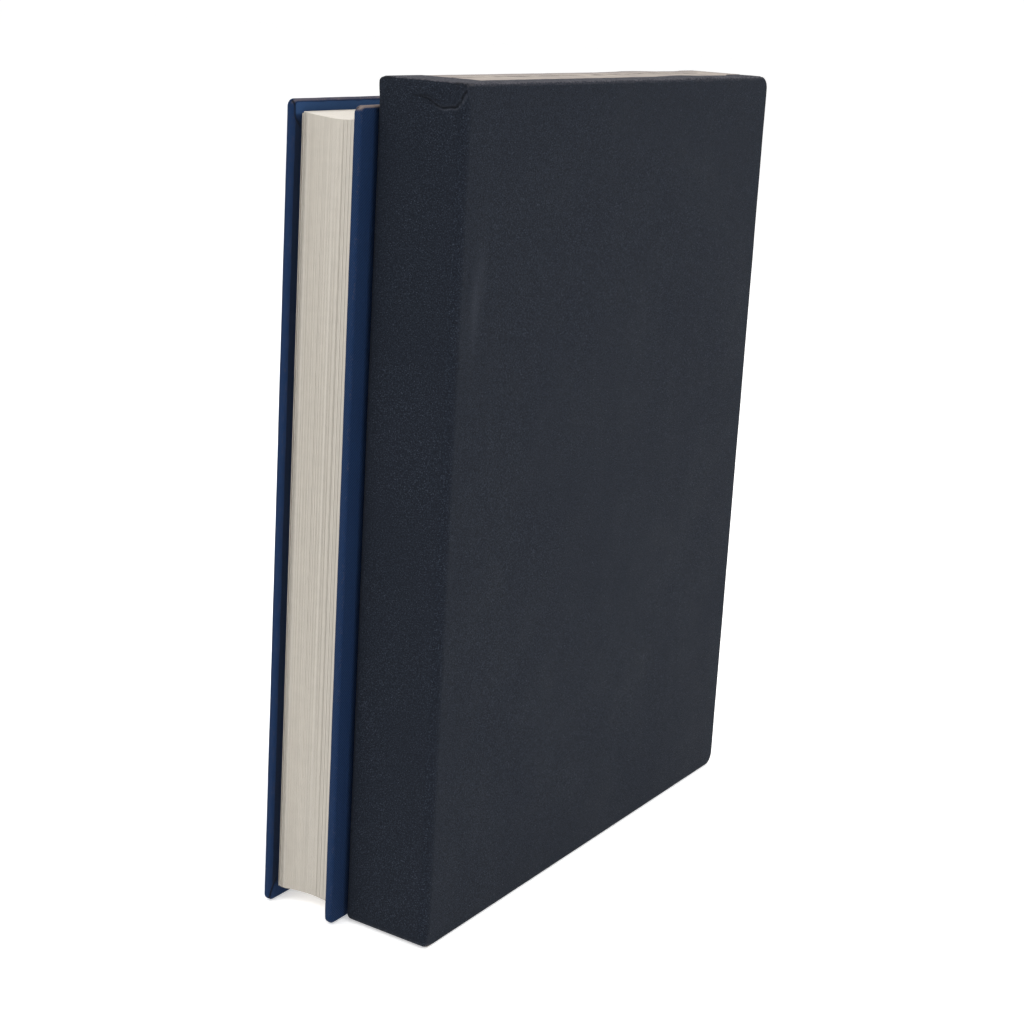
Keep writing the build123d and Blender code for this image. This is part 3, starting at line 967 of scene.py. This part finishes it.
def cover_fold_marks(points, outer_x, inner_x, shown):
    """Height and painted crease shade of the corner folds, where the cloth is mitred and turned in."""
    thick = abs(inner_x - outer_x)
    share = (points[..., 0] - outer_x) / (inner_x - outer_x)
    inward = points[..., 1] - COVER_FORE
    around = share * thick + np.where(share > 0.5, inward, -inward)
    from_head = COVER_TOP - points[..., 2]
    head = crease_distance(around, from_head, HEAD_CREASE)
    foot = crease_distance(around, points[..., 2], FOOT_CREASE)
    # painted shade: dark along the creases
    dark = shown * np.clip(1.8 * bell(np.minimum(head, foot), 0.38), 0, 1)
    line = path_curve(HEAD_CREASE, 60)
    inside = around > np.interp(from_head, line[:, 1], line[:, 0])
    lowered = shown * (from_head < 9.4) * inside * smooth_step(head, 0.0, 0.3) * 0.14
    return -lowered - 0.2 * dark, dark


def cover_lift(points, normals, outer_x, inner_x):
    """Slight bow and ripples of the cover's cloth, and its corner folds with their painted crease shade.
    """
    y, z = points[..., 1], points[..., 2]
    along = np.clip((y - COVER_FORE) / (COVER_SPINE - COVER_FORE), 0, 1)
    up = np.clip(z / COVER_TOP, 0, 1)
    outward = 1.0 if outer_x > inner_x else -1.0
    flat = smooth_step(normals[..., 0] * outward, 0.6, 1)
    lift = flat * (0.12 * np.sin(np.pi * along) * np.sin(np.pi * up))
    lift = lift + ripple(points, 18.0, 0.06, 3) + ripple(points, 3.2, 0.035, 11)
    inner_side = normals[..., 0] * -outward
    shown = smooth_step(-normals[..., 1] + np.clip(inner_side, 0, 1), 0.1, 0.5)
    height, dark = cover_fold_marks(points, outer_x, inner_x, shown)
    return lift * smooth_step(z, 0.5, 3) + height, dark


def cover_head_sheen(points, normals, outer_x, inner_x):
    """Painted sheen: a pale tan line along the head, strongest on the cover next to the case."""
    head = smooth_step(normals[..., 2], 0.25, 0.7)
    share = (points[..., 0] - outer_x) / (inner_x - outer_x)
    facing_case = outer_x > inner_x
    band = 1.0 if facing_case else smooth_step(share, 0.45, 0.75)
    broken = 0.65 + ripple(points, 9.0, 0.5, 21)
    return np.clip(head * band * broken, 0, 1) * (0.9 if facing_case else 0.3)


def add_cover_grid(work, points, normals, edge, outer_x, inner_x):
    lift, dark = cover_lift(points, normals, outer_x, inner_x)
    work.grid(
        points + normals * lift[..., None],
        edge=edge, fold=dark, wear=cover_head_sheen(points, normals, outer_x, inner_x),
    )


def make_cover_cloth(side, body):
    node = f"{side}_cover_cloth"
    first, last = low(node), high(node)
    outer_x, inner_x = (first.x, last.x) if side == "front" else (last.x, first.x)
    outward_x = 1.0 if outer_x > inner_x else -1.0
    z_stops = np.concatenate([
        spread(2.9, 14, 0.35), spread(18, COVER_TOP - 16, 4.2),
        spread(COVER_TOP - 12, COVER_TOP - 2.9, 0.3),
    ])
    curves = side_outline(
        (COVER_FORE, COVER_SPINE, 0, COVER_TOP),
        (FORE_CORNER, FORE_CORNER, SPINE_CORNER, SPINE_CORNER),
        spread(COVER_FORE + 3, COVER_SPINE - 3, 4.2), z_stops,
    )
    work = Patchwork()
    points = flat_face(curves, dict.fromkeys(curves, COVER_RIM), outer_x)
    normals = np.zeros_like(points)
    normals[..., 0] = outward_x
    y, z = points[..., 1], points[..., 2]
    near = np.minimum.reduce([z, COVER_TOP - z, y - COVER_FORE])
    add_cover_grid(work, points, normals, 0.4 * bell(near, 0.7), outer_x, inner_x)
    for curve in curves.values():
        cover_edge(work, curve, outer_x, inner_x, outward_x)
    cover_turn_in(work, curves, outer_x, inner_x)
    make_piece(
        work, f"{side}_cover_wrap", "book_cloth", body, (node,), merge=0.01,
        inside=(first + last) / 2, skin=COVER_SKIN, sharp=50,
    )


def make_cover_board(side, body):
    """The board inside the cloth, with the soft corners of pressed board."""
    node = f"{side}_board"
    first, last = low(node), high(node)
    skin = first.y - COVER_FORE
    corner, spine, rim = FORE_CORNER - skin, SPINE_CORNER - skin, COVER_RIM - skin
    curves = side_outline(
        (first.y, last.y, first.z, last.z), (corner, corner, spine, spine),
        spread(first.y + 4, last.y - 4, 12), spread(first.z + 4, last.z - 4, 12),
    )
    work = Patchwork()
    for x in (first.x, last.x):
        work.grid(flat_face(curves, dict.fromkeys(curves, rim), x))
    steps = [(first.x + rim * (1 - math.cos(a)), rim * (1 - math.sin(a))) for a in QUARTER]
    steps += [(last.x - rim * (1 - math.cos(a)), rim * (1 - math.sin(a))) for a in QUARTER[::-1]]
    for points, outward in curves.values():
        work.grid(np.array([standing(x, points - outward * depth) for x, depth in steps]))
    make_piece(
        work, f"{side}_board_slab", "binders_board", body, (node,),
        merge=0.01, inside=(first + last) / 2,
    )


def cover_edge(work, curve, outer_x, inner_x, outward_x):
    """The cloth over one edge of a board: rounded, straight across, and rounded again."""
    points, outward = curve
    rows, normals = [], []

    def add(x, depth, tilt_x, tilt_out):
        rows.append(standing(x, points - outward * depth))
        normals.append(standing(tilt_x, outward * tilt_out))

    for angle in np.radians(np.linspace(0, 90, 6)):
        x = outer_x - outward_x * COVER_RIM * (1 - math.cos(angle))
        add(x, COVER_RIM * (1 - math.sin(angle)), outward_x * math.cos(angle), math.sin(angle))
    start = outer_x - outward_x * COVER_RIM
    end = inner_x + outward_x * COVER_RIM
    for share in np.linspace(0, 1, 10)[1:-1]:
        add(start + (end - start) * share, 0, 0, 1)
    for angle in np.radians(np.linspace(90, 0, 10)):
        x = inner_x + outward_x * COVER_RIM * (1 - math.cos(angle))
        add(x, COVER_RIM * (1 - math.sin(angle)), -outward_x * math.cos(angle), math.sin(angle))
    grid, directions = np.array(rows), np.array(normals)
    rounded = bell(np.abs(directions[..., 0]) - 0.7, 0.4)
    head = smooth_step(np.abs(directions[..., 2]), 0.3, 0.8)
    # rub on the rounded edges; more where they face up at the head, as painted sheen
    rub_and_sheen = rounded * (0.25 + 0.75 * head) + 0.35 * head
    add_cover_grid(work, grid, directions, rub_and_sheen, outer_x, inner_x)


def cover_turn_in(work, curves, outer_x, inner_x):
    """The margin of cloth folded onto the inside of a board: painted shade beside the leaves, painted
    light above.
    """
    y0, y1 = COVER_FORE + TURN_IN, COVER_SPINE - COVER_RIM
    for name in ("foot", "top", "back"):
        start = inset_curve(curves[name], COVER_RIM)
        end = np.clip(start, (y0, TURN_IN), (y1, COVER_TOP - TURN_IN))
        grid = np.array([
            standing(inner_x, start + (end - start) * share)
            for share in (*np.arange(0, 0.3, 0.022), 0.4, 0.6, 1.0)
        ])
        height, dark = cover_fold_marks(grid, outer_x, inner_x, np.ones(grid.shape[:2]))
        grid[..., 0] += height * (1.0 if inner_x > outer_x else -1.0)
        # painted shade: the cloth beside the leaves darkened
        beside = smooth_step(grid[..., 2], LEAF_FOOT, LEAF_FOOT + 3)
        beside = beside * (1 - smooth_step(grid[..., 2], LEAF_TOP - 3, LEAF_TOP))
        beside = beside * (1 - smooth_step(grid[..., 1], COVER_FORE + 4, COVER_FORE + 6))
        # painted light: the cloth above the leaves made lighter
        above = smooth_step(grid[..., 2], LEAF_TOP - 1.0, LEAF_TOP + 0.5)
        work.grid(grid, fold=np.maximum(0.7 * beside, dark), fresh=above)


# ------------------------------------------------------------------ joints and spine of the cover
HINGE_Y = high("front_joint_cloth").y + 0.4
SPINE_BACK = high("spine_cloth").y
SPINE_MIDDLE = (low("spine_cloth").x + high("spine_cloth").x) / 2
SPINE_REACH = (high("spine_cloth").x - low("spine_cloth").x) / 2
SPINE_SIDE_Y = low("spine_cloth").y


def make_joint(side):
    """Cloth that leaves a board, lies in the groove and rises onto the spine's shoulder."""
    node, cover = f"{side}_joint_cloth", f"{side}_cover_cloth"
    out, corner = (-1, low) if side == "front" else (1, high)
    outer_x, level = corner(cover).x, corner(node).x
    spine_x = SPINE_MIDDLE + out * SPINE_REACH
    path = path_curve([
        (outer_x + out * 0.03, COVER_SPINE - 3.2),
        (outer_x + out * 0.03, COVER_SPINE - 1.2),
        (outer_x - out * 0.9, COVER_SPINE + 0.25),
        (level + out * 0.45, COVER_SPINE + 1.35),
        (level + out * 0.08, COVER_SPINE + 2.9),
        (level + out * 0.1, HINGE_Y - 1.2),
        (level - out * 0.05, HINGE_Y + 0.6),
        (spine_x + out * 0.1, SPINE_SIDE_Y + 0.9),
        (spine_x - out * 1.4, SPINE_SIDE_Y + 1.75),
    ], 44)
    z0, z1 = 0.15, COVER_TOP - 0.15
    heights = np.concatenate([[z0, z0 + 0.4], spread(z0 + 2, z1 - 2, 6.0), [z1 - 0.4, z1]])
    grid = np.array([np.column_stack([path, np.full(len(path), z)]) for z in heights])
    grid[..., :2] -= sideways(path)[None] * ripple(grid, 9.0, 0.05, 4)[..., None]
    work = Patchwork()
    work.grid(grid, edge=bell(np.minimum(grid[..., 2] - z0, z1 - grid[..., 2]), 1.2))
    piece = make_piece(
        work, f"{side}_joint_wrap", "book_cloth", None, (node,),
        inside=(SPINE_MIDDLE, 0, COVER_TOP / 2), skin=0.3, sharp=50,
    )
    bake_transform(piece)


def make_spine_cloth():
    """The rounded spine's cloth, turned in over the head and the tail."""
    depth = SPINE_BACK - SPINE_SIDE_Y
    radius = (SPINE_REACH ** 2 + depth ** 2) / (2 * depth)
    centre_y = SPINE_BACK - radius
    widest = math.asin(SPINE_REACH / radius)
    angles = np.linspace(-widest, widest, 60)
    heights = np.concatenate([
        spread(0.6, 4, 0.8), spread(9, COVER_TOP - 9, 6), spread(COVER_TOP - 4, COVER_TOP - 0.6, 0.8),
    ])
    cap = [(0.0, -0.6), (-0.25, -0.2), (-0.65, 0.0), (-1.05, -0.2), (-1.25, -0.6)]
    profile = [(-1.25, 10.0)] + [(offset, -down) for offset, down in cap[::-1]]
    profile += [(0.0, z) for z in heights[1:-1]]
    profile += [(offset, COVER_TOP + down) for offset, down in cap]
    profile += [(-1.25, COVER_TOP - 10.0)]
    rows = []
    for offset, z in profile:
        sag = 0.35 * bell(z - COVER_TOP, 3) + 0.35 * bell(z, 3)
        ring = radius + offset + 0.1
        lowered = z - np.sign(z - COVER_TOP / 2) * sag * np.cos(angles / widest * math.pi / 2) * 0.6
        rows.append(np.column_stack([
            SPINE_MIDDLE + ring * np.sin(angles), centre_y + ring * np.cos(angles), lowered,
        ]))
    grid = np.array(rows)
    grid[..., 1] += ripple(grid, 12.0, 0.08, 6)
    work = Patchwork()
    ends = np.minimum(grid[..., 2], COVER_TOP - grid[..., 2])
    work.grid(grid, edge=bell(ends, 1.0))
    make_piece(
        work, "spine_wrap", "book_cloth", "text_block", ("spine_cloth",),
        inside=(SPINE_MIDDLE, centre_y, COVER_TOP / 2), skin=0.28, sharp=60,
    )


# ------------------------------------------------------------------ leaves
SAG = 1.6                  # the loose middle of the block hangs this much lower at the fore-edge
SKEW = 0.9                 # the block leans: front leaves stand out, back leaves are set back
RECESS = 1.4               # the fore-edge's hollow, beyond the rounding of the spine
HEAD_RISE = 0.7            # the leaves' heads stand a little higher at the fore-edge
SAG_FROM, SAG_TO = -118.0, -30.0       # from the fore-edge inward
RISE_TO = 60.0
BLOCK_MIDDLE = (BLOCK_LEFT + BLOCK_RIGHT) / 2
BLOCK_HALF = (BLOCK_RIGHT - BLOCK_LEFT) / 2
FORE_X = [(low(name).x + high(name).x) / 2 for name in SIGNATURES]
FORE_Y = [low(name).y for name in SIGNATURES]
LEAF_HEIGHTS = [0, 0.004, *np.linspace(0.05, 0.95, 7), 0.996, 1]


def fore_edge(x):
    """Where the leaves' fore-edge lies at this place across the block."""
    order = np.argsort(FORE_X)
    hollow = np.interp(x, np.array(FORE_X)[order], np.array(FORE_Y)[order])
    share = np.clip((np.asarray(x, float) - BLOCK_MIDDLE) / BLOCK_HALF, -1, 1)
    return hollow + SKEW * share + RECESS


def leaf_drop(x, y):
    """How far a leaf's head and tail hang down here."""
    share = np.clip((np.asarray(x, float) - BLOCK_MIDDLE) / BLOCK_HALF, -1, 1)
    across = (1 - share ** 2) * (1 + 0.35 * share)
    rise = HEAD_RISE * (1 - smooth_step(y, SAG_FROM, RISE_TO))
    return SAG * across * (1 - smooth_step(y, SAG_FROM, SAG_TO)) - rise


def sheet_solid(work, path, thickness, bow, page=0.0):
    """A sheet of even thickness along a path seen from above, closed on every side."""
    normals = sideways(path)
    faces = []
    for side in (1, -1):
        edge = path + normals * side * thickness / 2
        rows = []
        for share in LEAF_HEIGHTS:
            weight = share if share > 0.5 else share + 0.35 * (1 - share)
            drop = leaf_drop(edge[:, 0], edge[:, 1]) * weight
            z = LEAF_FOOT + (LEAF_TOP - LEAF_FOOT) * share - drop
            wave = bow * math.sin(math.pi * share)
            rows.append(np.column_stack([edge[:, 0], edge[:, 1] + wave, z]))
        faces.append(np.array(rows))
    work.slab(*faces, page=np.full(faces[0].shape[:2], page))


def make_signature(name):
    """One gathering: sheets folded round each other, with uneven fore-edges."""
    first, last = low(name), high(name)
    middle = (first.x + last.x) / 2
    radius = (last.x - first.x) / 2
    fold_y = last.y - radius
    nested = 5
    thick = radius / nested
    right_third = smooth_step(middle, -38, -30)
    shift = chance.gauss(0, 0.03)
    work = Patchwork()
    for index in range(nested):
        ring = thick * (index + 0.5)
        outermost = index == nested - 1
        legs = []
        for side in (-1, 1):
            x = middle + side * ring
            deep = 0.14 * right_third if outermost else 0.0
            y = fore_edge(x) + shift + deep + chance.gauss(0, 0.02)
            stops = np.array([y, y + 20, y + 50, y + 90, (y + fold_y) / 2 + 30, fold_y - 4])
            legs.append(standing(x, stops))
        angles = np.radians(np.linspace(180, 0, 9))
        fold = np.column_stack([middle + ring * np.cos(angles), fold_y + ring * np.sin(angles)])
        path = np.vstack([legs[0], fold, legs[1][::-1]])
        chance.random()         # keeps the order of the draws
        sheet_solid(work, path, thick * 0.94, chance.gauss(0, 0.06))
    make_piece(work, f"{name}_sheets", "leaf_paper", "text_block", (name,), sharp=35)


def make_leaf(node, slot, layers):
    """A leaf or a few as one piece, with close rows near the sewing."""
    first, last = low(node), high(node)
    work = Patchwork()
    pitch = (last.x - first.x) / layers
    for index in range(layers):
        x = first.x + pitch * (index + 0.5)
        y = fore_edge(x) + chance.gauss(0, 0.05)
        stops = np.concatenate([spread(y, last.y - 12, 20), spread(last.y - 11, last.y, 0.8)])
        path = standing(x, stops)
        chance.random()         # keeps the order of the draws
        sheet_solid(work, path, pitch * 0.9, chance.gauss(0, 0.05), page=1.0)
    piece = make_piece(work, f"{node}_sheets", slot, None, (node,), sharp=35)
    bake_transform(piece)


PASTEDOWN_THICK = 0.18


def make_pastedown(side, body):
    """The lining leaf on a cover; the edge of the cloth under it shows through as a soft step."""
    node = f"{side}_pastedown"
    first, last = low(node), high(node)
    out, surface = (1, last.x) if side == "front" else (-1, first.x)
    fine = np.array([-0.8, -0.3, 0.2, 0.7])
    turn_y = COVER_FORE + TURN_IN
    start = float(fore_edge(surface)) + 0.4
    ys = np.sort(np.concatenate([spread(start, last.y, 7), turn_y + fine]))
    zs = np.sort(np.concatenate([
        spread(first.z, last.z, 7), TURN_IN + fine, COVER_TOP - TURN_IN - fine,
    ]))
    y, z = np.meshgrid(ys, zs)
    points = np.stack([np.full(y.shape, float(surface)), y, z], 2)
    inner = (
        smooth_step(y, turn_y - 0.8, turn_y + 0.7)
        * smooth_step(z, TURN_IN - 0.8, TURN_IN + 0.7)
        * smooth_step(-z, -(COVER_TOP - TURN_IN) - 0.8, -(COVER_TOP - TURN_IN) + 0.7)
    )
    points[..., 0] -= out * (0.1 * inner - ripple(points, 30, 0.03, 2))
    under = points.copy()
    under[..., 0] = surface - out * PASTEDOWN_THICK
    work = Patchwork()
    work.slab(points, under)
    make_piece(work, f"{side}_pastedown_sheet", "endleaf_paper", body, (node,), sharp=40)


def make_headband(node):
    """A silk-wound cord on the leaves' edge, with each turn of the thread standing out."""
    first, last = low(node), high(node)
    cord = (last.z - first.z) / 2
    middle_z = (first.z + last.z) / 2
    reach = (last.x - first.x) / 2
    depth = last.y - first.y - 2 * cord
    radius = (reach ** 2 + depth ** 2) / (2 * depth)
    centre_y = last.y - cord - radius
    widest = math.asin(min(1.0, (reach - 0.4) / radius))
    angles = np.linspace(-widest, widest, 260)
    work = Patchwork()
    rows = []
    for index, angle in enumerate(angles):
        end = min(index, len(angles) - 1 - index)
        bulge = cord * (0.9 + 0.08 * math.sin(angle * radius * 2 * math.pi / 0.42))
        ring = bulge * (1.0 if end > 3 else 0.15 + 0.28 * end)
        around = np.radians(np.linspace(0, 360, 15))
        rows.append(np.column_stack([
            SPINE_MIDDLE + (radius + ring * np.cos(around)) * math.sin(angle),
            centre_y + (radius + ring * np.cos(around)) * math.cos(angle),
            middle_z + ring * np.sin(around),
        ]))
    work.grid(np.array(rows))
    for end in (0, -1):
        centre = rows[end].mean(0)
        work.grid(np.stack([rows[end], np.tile(centre, (len(rows[end]), 1))], 0))
    make_piece(work, f"{node}_cord", "headband_cord", "text_block", (node,))


# ------------------------------------------------------------------ studio
def make_floor():
    mesh = bpy.data.meshes.new("floor")
    size = 9.0
    level = -0.0004
    corners = [(-size, -size, level), (size, -size, level), (size, size, level), (-size, size, level)]
    mesh.from_pydata(corners, [], [(0, 1, 2, 3)])
    floor = bpy.data.objects.new("floor", mesh)
    bpy.context.scene.collection.objects.link(floor)
    s = Shader("floor", (255, 255, 255), 0.9)
    s.set(s.shader, "Emission Color", (1, 1, 1, 1))
    s.set(s.shader, "Emission Strength", 0.42)
    uneven = s.ramp(s.noise(3, 3), 0.3, 0.7)
    s.set(s.shader, "Base Color", s.mix(uneven, (0.93, 0.93, 0.93), (0.95, 0.95, 0.95)))
    mesh.materials.append(s.material)


WORLD_LIGHT = 0.62
WORLD_SEEN = 1.05


def make_world():
    """White surroundings: bright where the camera sees them, softer as a light."""
    world = bpy.data.worlds.new("studio")
    bpy.context.scene.world = world
    world.use_nodes = True
    tree = world.node_tree
    background = tree.nodes["Background"]
    background.inputs["Color"].default_value = (1, 1, 1, 1)
    path = tree.nodes.new("ShaderNodeLightPath")
    strength = tree.nodes.new("ShaderNodeMapRange")
    strength.inputs["To Min"].default_value = WORLD_LIGHT
    strength.inputs["To Max"].default_value = WORLD_SEEN
    tree.links.new(path.outputs["Is Camera Ray"], strength.inputs["Value"])
    tree.links.new(strength.outputs["Result"], background.inputs["Strength"])


LIT_PLACE = (-0.01, 0.0, 0.16)
LIGHTS = {                  # place, size in metres, watts
    "key": ((-0.9, -1.5, 1.9), 1.4, 22),
    "fill": ((1.9, -0.7, 1.0), 1.6, 11),
    "above": ((0.6, 0.1, 2.1), 1.8, 26),
}


def area_light(name, place, size, power):
    light = bpy.data.lights.new(name, "AREA")
    light.shape = "SQUARE"
    light.size = size
    light.energy = power
    lamp = bpy.data.objects.new(name, light)
    bpy.context.scene.collection.objects.link(lamp)
    lamp.location = place
    lamp.rotation_euler = (Vector(LIT_PLACE) - Vector(place)).to_track_quat("-Z", "Y").to_euler()


CAMERA_PLACE = (0.3819, -0.6423, 0.3495)
CAMERA_TURN = (32.646, 12.671, 3.257)      # yaw, pitch and roll in degrees
LENS = 67.09
LENS_SHIFT = -0.0996


def make_camera():
    """The viewing angle: from the back edge's side, a little above, with a slight roll."""
    yaw, pitch, roll = (math.radians(angle) for angle in CAMERA_TURN)
    level = math.cos(pitch)
    forward = np.array([-math.sin(yaw) * level, math.cos(yaw) * level, -math.sin(pitch)])
    right = np.array([math.cos(yaw), math.sin(yaw), 0.0])
    up = np.cross(right, forward)
    right_rolled = math.cos(roll) * right + math.sin(roll) * up
    up_rolled = -math.sin(roll) * right + math.cos(roll) * up
    camera_data = bpy.data.cameras.new("camera")
    camera_data.sensor_width = 36
    camera_data.lens = LENS
    camera_data.shift_y = LENS_SHIFT
    camera_data.clip_start = 0.02
    camera_data.clip_end = 50
    camera = bpy.data.objects.new("camera", camera_data)
    bpy.context.scene.collection.objects.link(camera)
    matrix = Matrix.Identity(4)
    for row in range(3):
        matrix[row][0] = right_rolled[row]
        matrix[row][1] = up_rolled[row]
        matrix[row][2] = -forward[row]
    for row, value in enumerate(CAMERA_PLACE):
        matrix[row][3] = value
    camera.matrix_world = matrix
    bpy.context.scene.camera = camera


# ------------------------------------------------------------------ putting it together
def dress_frame():
    """Materials of the CAD nodes that stay in view."""
    for side in ("left", "right", "back", "head", "tail"):
        dress_node(f"case_{side}_board", "binders_board")
        dress_node(f"case_{side}_lining", "case_lining")
    for node, slot in {
        "front_sewn_margin": "leaf_paper", "back_sewn_margin": "leaf_paper",
        "case_tail_paper": "end_paper", "spine_stiffener": "spine_card",
        "spine_lining": "kraft_paper", "mull": "mull_gauze", "kettle_stitches": "linen_thread",
    }.items():
        dress_node(node, slot)


def make_pieces():
    make_case_cloth()
    make_head_paper()
    for side in ("front", "back"):
        make_cover_cloth(side, f"{side}_cover")
    for side in ("front", "back"):
        make_cover_board(side, f"{side}_cover")
        make_joint(side)
        make_pastedown(side, f"{side}_cover")
    make_spine_cloth()
    for name in SIGNATURES:
        make_signature(name)
    for number in (1, 2, 3):
        make_leaf(f"entry_leaves_{number}", "leaf_paper", 3)
    for side in ("front", "back"):
        make_leaf(f"{side}_flyleaf", "endleaf_paper", 1)
    for node in ("headband", "tailband"):
        make_headband(node)


bpy.context.scene.view_settings.view_transform = "Standard"
make_camera()
make_world()
for light_name, light_values in LIGHTS.items():
    area_light(light_name, *light_values)
make_floor()
dress_frame()
make_pieces()
